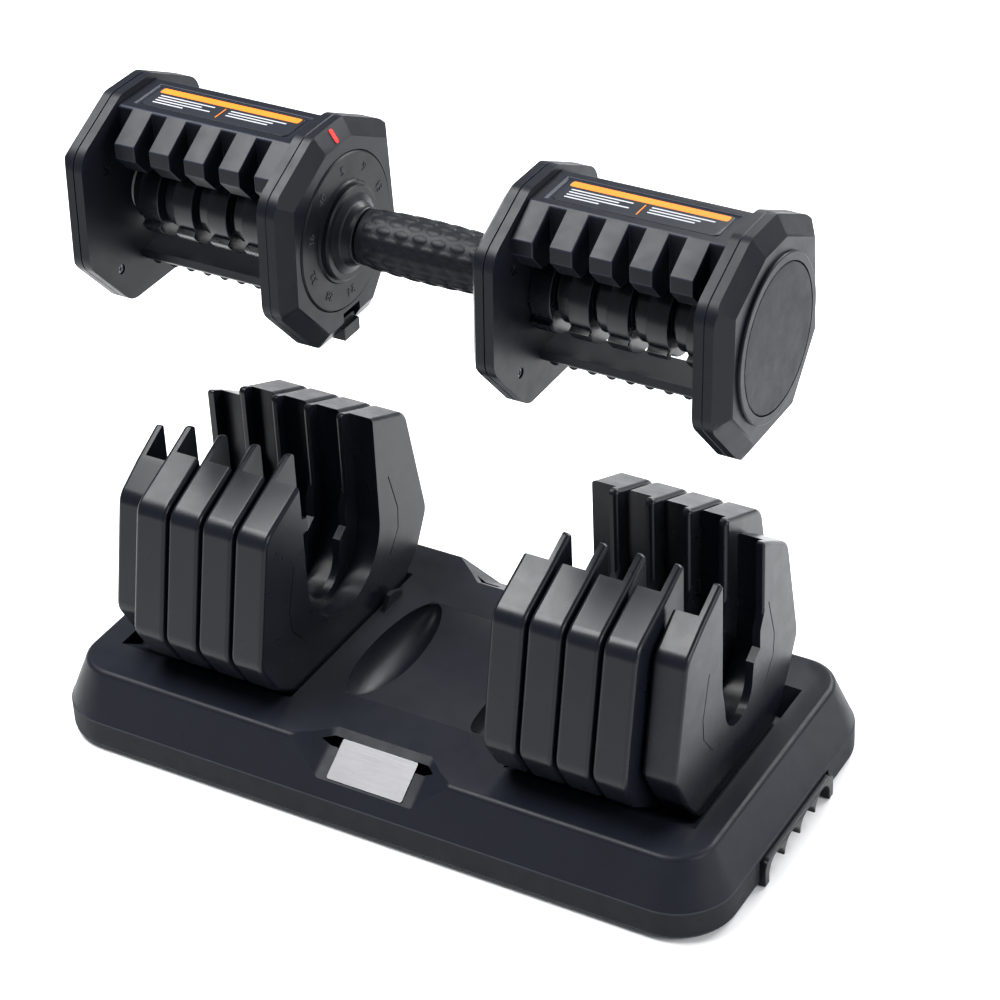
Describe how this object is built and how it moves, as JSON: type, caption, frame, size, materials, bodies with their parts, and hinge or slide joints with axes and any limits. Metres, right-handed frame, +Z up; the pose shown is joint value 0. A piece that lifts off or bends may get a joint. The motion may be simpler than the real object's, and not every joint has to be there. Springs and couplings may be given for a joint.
{
  "type": "adjustable dumbbell with storage tray",
  "caption": "Twist-handle adjustable dumbbell lifted above a dished storage tray that holds its slotted weight plates; turning the handle selects plates.",
  "frame": {"origin": "middle of the tray on the surface it stands on", "axes": "+X along the handle, -Y towards the plaque side, +Z up"},
  "size_m": [0.447, 0.224, 0.39],
  "materials": {
    "skirt_plastic": "matt charcoal with a faint speckle",
    "tray_plastic": "satin charcoal, fine moulded grain",
    "brushed_plaque": "brushed, blank",
    "foot_rubber": "matt",
    "steel": "plain bright",
    "grip_plastic": "semi-gloss black",
    "head_plastic": "satin black, fine moulded grain",
    "disc_plastic": "matt black, slightly lighter",
    "label_film": "printed film: orange band over dark grey, no lettering",
    "bush_plastic": "plain",
    "red_plastic": "bright red",
    "grip_rubber": "soft black with raised dashes",
    "dial_plastic": "satin black with raised numerals",
    "rotor_plastic": "semi-gloss black",
    "lock_plastic": "satin black",
    "plate_iron": "semi-gloss black coating over iron"
  },
  "bodies": {
    "tray": {"tray_base": "skirt_plastic", "tray_shell": "tray_plastic", "plaque": "brushed_plaque", "tray_feet": "foot_rubber", "tray_screws": "steel", "left_carry_grip": "grip_plastic", "right_carry_grip": "grip_plastic"},
    "dumbbell_frame": {"left_inner_cover": "head_plastic", "left_inner_plate": "head_plastic", "left_outer_plate": "head_plastic", "left_end_cap": "head_plastic", "left_saddle": "head_plastic", "left_tie_bar": "head_plastic", "left_end_disc": "disc_plastic", "left_label": "label_film", "right_inner_cover": "head_plastic", "right_inner_plate": "head_plastic", "right_outer_plate": "head_plastic", "right_end_cap": "head_plastic", "right_saddle": "head_plastic", "right_tie_bar": "head_plastic", "right_end_disc": "disc_plastic", "right_label": "label_film", "axle": "steel", "axle_nuts": "steel", "bushes": "bush_plastic", "flange_screws": "steel", "index_mark": "red_plastic", "lock_spring": "steel", "detent_ball": "steel", "detent_spring": "steel"},
    "twist_handle": {"handle_tube": "steel", "grip_sleeve": "grip_rubber", "left_dial": "dial_plastic", "right_hub": "dial_plastic", "left_collar": "dial_plastic", "right_collar": "dial_plastic", "left_locking_disc_1": "rotor_plastic", "left_locking_disc_2": "rotor_plastic", "left_locking_disc_3": "rotor_plastic", "left_locking_disc_4": "rotor_plastic", "left_locking_disc_5": "rotor_plastic", "right_locking_disc_1": "rotor_plastic", "right_locking_disc_2": "rotor_plastic", "right_locking_disc_3": "rotor_plastic", "right_locking_disc_4": "rotor_plastic", "right_locking_disc_5": "rotor_plastic"},
    "safety_lock": {"lock_tab": "lock_plastic"},
    "left_plate_1": {"left_plate_1": "plate_iron"},
    "left_plate_2": {"left_plate_2": "plate_iron"},
    "left_plate_3": {"left_plate_3": "plate_iron"},
    "left_plate_4": {"left_plate_4": "plate_iron"},
    "left_plate_5": {"left_plate_5": "plate_iron"},
    "right_plate_1": {"right_plate_1": "plate_iron"},
    "right_plate_2": {"right_plate_2": "plate_iron"},
    "right_plate_3": {"right_plate_3": "plate_iron"},
    "right_plate_4": {"right_plate_4": "plate_iron"},
    "right_plate_5": {"right_plate_5": "plate_iron"}
  },
  "joints": [
    {"name": "dumbbell_lift", "type": "slide", "parent": "tray", "child": "dumbbell_frame", "axis": [0, 0, 1], "range_m": [-0.2045, 0]},
    {"name": "handle_twist", "type": "hinge", "parent": "dumbbell_frame", "child": "twist_handle", "pos_m": [0, 0, 0.328], "axis": [1, 0, 0], "range_deg": [0, 324]},
    {"name": "lock_press", "type": "slide", "parent": "dumbbell_frame", "child": "safety_lock", "axis": [0, 0, 1], "range_m": [0, 0.004], "stiffness_N_per_m": 300, "springref_m": -0.006, "deforming": ["lock_spring"]},
    {"name": "left_plate_1_lift", "type": "slide", "parent": "tray", "child": "left_plate_1", "axis": [0, 0, 1], "range_m": [0, 0.2045]},
    {"name": "left_plate_2_lift", "type": "slide", "parent": "tray", "child": "left_plate_2", "axis": [0, 0, 1], "range_m": [0, 0.2045]},
    {"name": "left_plate_3_lift", "type": "slide", "parent": "tray", "child": "left_plate_3", "axis": [0, 0, 1], "range_m": [0, 0.2045]},
    {"name": "left_plate_4_lift", "type": "slide", "parent": "tray", "child": "left_plate_4", "axis": [0, 0, 1], "range_m": [0, 0.2045]},
    {"name": "left_plate_5_lift", "type": "slide", "parent": "tray", "child": "left_plate_5", "axis": [0, 0, 1], "range_m": [0, 0.2045]},
    {"name": "right_plate_1_lift", "type": "slide", "parent": "tray", "child": "right_plate_1", "axis": [0, 0, 1], "range_m": [0, 0.2045]},
    {"name": "right_plate_2_lift", "type": "slide", "parent": "tray", "child": "right_plate_2", "axis": [0, 0, 1], "range_m": [0, 0.2045]},
    {"name": "right_plate_3_lift", "type": "slide", "parent": "tray", "child": "right_plate_3", "axis": [0, 0, 1], "range_m": [0, 0.2045]},
    {"name": "right_plate_4_lift", "type": "slide", "parent": "tray", "child": "right_plate_4", "axis": [0, 0, 1], "range_m": [0, 0.2045]},
    {"name": "right_plate_5_lift", "type": "slide", "parent": "tray", "child": "right_plate_5", "axis": [0, 0, 1], "range_m": [0, 0.2045]}
  ]
}
